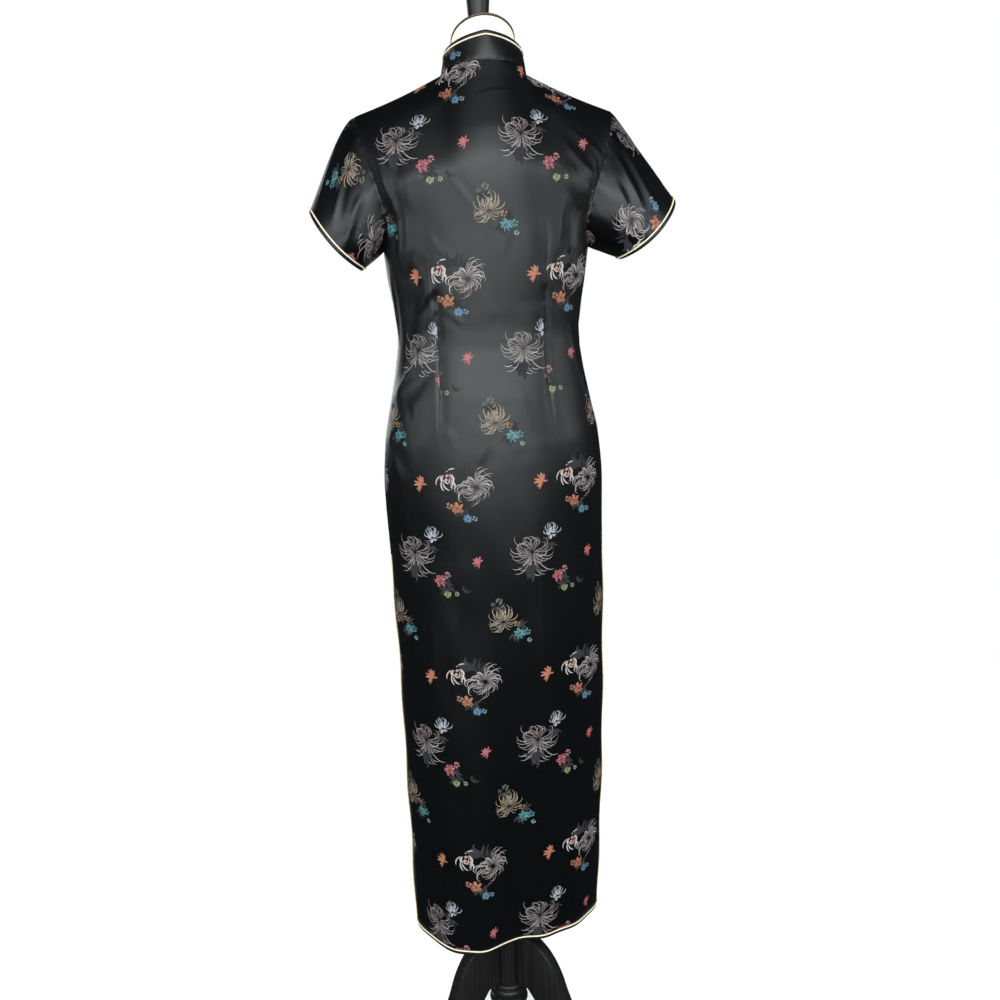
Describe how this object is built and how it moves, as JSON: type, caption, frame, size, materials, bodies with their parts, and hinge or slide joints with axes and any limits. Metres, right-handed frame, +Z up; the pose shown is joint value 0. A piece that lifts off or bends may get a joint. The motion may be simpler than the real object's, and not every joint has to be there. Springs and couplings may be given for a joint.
{
  "type": "cheongsam dress on dress form",
  "caption": "Long short-sleeved cheongsam dress with stand collar, slanted placket and side slits, worn by a limbless dress form on a turned tripod stand.",
  "frame": {"origin": "on the floor under the middle of the whole part", "axes": "+Z up, +X to the wearer's left, -Y the way the front faces, +Y behind"},
  "size_m": [0.5711, 0.4226, 1.784],
  "materials": {
    "brocade": "black satin brocade with small coloured flowers, soft sheen",
    "binding": "plain black satin",
    "piping": "cream satin cord",
    "form_cover": "pale beige jersey, matt",
    "cap_wood": "dark stained, satin",
    "stand_wood": "black lacquer, satin"
  },
  "bodies": {
    "root": {"back_panel": "brocade", "front_panel": "brocade", "front_underlap": "brocade", "sleeve_left": "brocade", "sleeve_right": "brocade", "collar": "brocade", "back_slit_hem_binding": "binding", "front_slit_hem_binding": "binding", "placket_binding": "binding", "sleeve_left_hem_binding": "binding", "sleeve_right_hem_binding": "binding", "collar_edge_binding": "binding", "back_slit_hem_piping": "piping", "front_slit_hem_piping": "piping", "placket_piping": "piping", "sleeve_left_hem_piping": "piping", "sleeve_right_hem_piping": "piping", "collar_edge_piping": "piping", "frog_collar": "binding", "frog_chest": "binding", "frog_side": "binding", "form_torso": "form_cover", "form_neck_cap": "cap_wood", "form_finial": "stand_wood", "stand_post": "stand_wood", "stand_leg_1": "stand_wood", "stand_leg_2": "stand_wood", "stand_leg_3": "stand_wood"}
  },
  "joints": []
}
